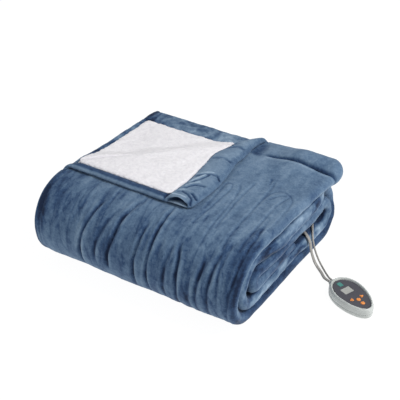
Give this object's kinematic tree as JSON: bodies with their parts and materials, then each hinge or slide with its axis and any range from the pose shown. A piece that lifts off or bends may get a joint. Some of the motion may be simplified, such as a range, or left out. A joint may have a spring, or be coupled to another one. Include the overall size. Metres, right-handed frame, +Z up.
{
  "type": "folded heated blanket",
  "caption": "Plush heated blanket folded into a soft stack, one corner turned back over its sherpa lining, with a wired hand controller on its leads.",
  "frame": {"origin": "middle of the folded blanket's flat underside, on the surface it rests on", "axes": "+X along the folds towards the creased end and the controller, -Y towards the broad front bend, +Y towards the hems, +Z up"},
  "size_m": [0.6027, 0.5005, 0.1682],
  "materials": {
    "plush": "short pile plush",
    "sherpa": "fluffy sherpa",
    "housing": "satin",
    "panel": "satin",
    "display": "gloss",
    "lamp": "gloss",
    "button": "gloss",
    "lead": "satin",
    "tie": "matte",
    "blade": "bright"
  },
  "bodies": {
    "root": {"plush_cloth": "plush", "flap_lining": "sherpa", "exposed_lining": "sherpa", "controller_housing": "housing", "controller_face": "panel", "controller_display": "display", "controller_lamp": "lamp", "lead_collar": "housing", "control_lead": "lead", "mains_lead": "lead", "mains_lead_tail": "lead", "mains_coil": "lead", "coil_tie": "tie", "plug_body": "lead", "plug_blade_1": "blade", "plug_blade_2": "blade"},
    "button_down": {"button_down": "button"},
    "button_up": {"button_up": "button"},
    "button_mode": {"button_mode": "button"},
    "button_power": {"button_power": "button"}
  },
  "joints": [
    {"name": "button_down_press", "type": "slide", "parent": "root", "child": "button_down", "axis": [0, 0, -1], "range_m": [0, 0.0008], "stiffness_N_per_m": 60},
    {"name": "button_up_press", "type": "slide", "parent": "root", "child": "button_up", "axis": [0, 0, -1], "range_m": [0, 0.0008], "stiffness_N_per_m": 60},
    {"name": "button_mode_press", "type": "slide", "parent": "root", "child": "button_mode", "axis": [0, 0, -1], "range_m": [0, 0.0008], "stiffness_N_per_m": 60},
    {"name": "button_power_press", "type": "slide", "parent": "root", "child": "button_power", "axis": [0, 0, -1], "range_m": [0, 0.0008], "stiffness_N_per_m": 60}
  ]
}
